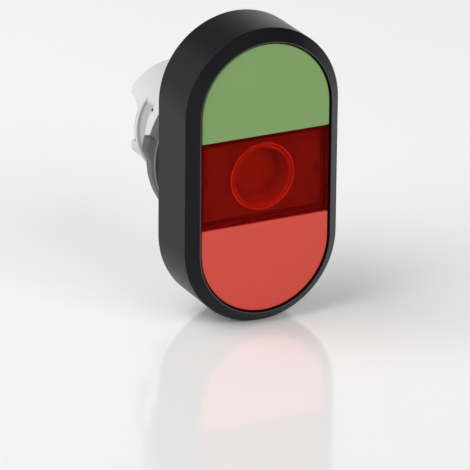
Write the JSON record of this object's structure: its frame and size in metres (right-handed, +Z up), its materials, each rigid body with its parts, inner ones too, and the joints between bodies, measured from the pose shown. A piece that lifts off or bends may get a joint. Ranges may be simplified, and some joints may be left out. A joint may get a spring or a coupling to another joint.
{
  "type": "illuminated double pushbutton head",
  "caption": "Panel pushbutton head with a stadium-shaped bezel, a green button above and a red button below a red pilot lens, on a round collar with gasket and retaining nut",
  "frame": {"origin": "on the collar's axis, on the plane of the panel's front face, which is the gasket's rear face", "axes": "+Z up along the bezel's long way, green button above red; +Y along the collar, away from the user; the button faces look along -Y; +X to the user's right"},
  "size_m": [0.0316, 0.0378, 0.055],
  "materials": {
    "black_gloss": "moulded, satin gloss",
    "black_matte": "moulded, matt",
    "pale_plastic": "moulded, fine matt",
    "white_plastic": "moulded, matt",
    "frosted_plastic": "frosted, translucent",
    "dark_plastic": "moulded, matt",
    "seal_rubber": "soft, matt",
    "red_lens": "clear red, polished",
    "green_plastic": "moulded, fine satin",
    "red_plastic": "moulded, fine satin",
    "natural_plastic": "moulded, waxy",
    "gasket_rubber": "soft, matt",
    "washer_grey": "moulded, matt",
    "nut_grey": "moulded, fine matt",
    "spring_steel": "drawn wire"
  },
  "bodies": {
    "head": {"front_bezel": "black_gloss", "chassis": "black_matte", "mounting_collar": "pale_plastic", "light_guide": "white_plastic", "diffuser_disc": "frosted_plastic", "lens_carrier": "dark_plastic", "lens_seal": "seal_rubber", "red_lens": "red_lens", "green_stop_pad": "seal_rubber", "green_guide_bush": "white_plastic", "red_stop_pad": "seal_rubber", "red_guide_bush": "white_plastic", "housing_seal": "seal_rubber", "inner_seal": "seal_rubber", "plunger_guide": "white_plastic", "panel_gasket": "gasket_rubber", "green_return_spring": "spring_steel", "red_return_spring": "spring_steel"},
    "green_button": {"green_cap": "green_plastic", "green_pusher": "natural_plastic"},
    "red_button": {"red_cap": "red_plastic", "red_pusher": "natural_plastic"},
    "washer": {"thrust_washer": "washer_grey"},
    "nut": {"retaining_nut": "nut_grey"}
  },
  "joints": [
    {"name": "green_press", "type": "slide", "parent": "head", "child": "green_button", "axis": [0, 1, 0], "range_m": [0, 0.004], "stiffness_N_per_m": 600, "springref_m": -0.003, "deforming": ["green_return_spring"]},
    {"name": "red_press", "type": "slide", "parent": "head", "child": "red_button", "axis": [0, 1, 0], "range_m": [0, 0.004], "stiffness_N_per_m": 600, "springref_m": -0.003, "deforming": ["red_return_spring"]},
    {"name": "nut_travel", "type": "slide", "parent": "head", "child": "washer", "axis": [0, 1, 0], "range_m": [0, 0.006]},
    {"name": "nut_turn", "type": "hinge", "parent": "washer", "child": "nut", "pos_m": [0, 0, 0], "axis": [0, 1, 0], "range_deg": [0, 1441]}
  ],
  "couplings": [
    {"joint": "nut_turn", "follows": "nut_travel", "rad_per_m": 4188.8}
  ]
}
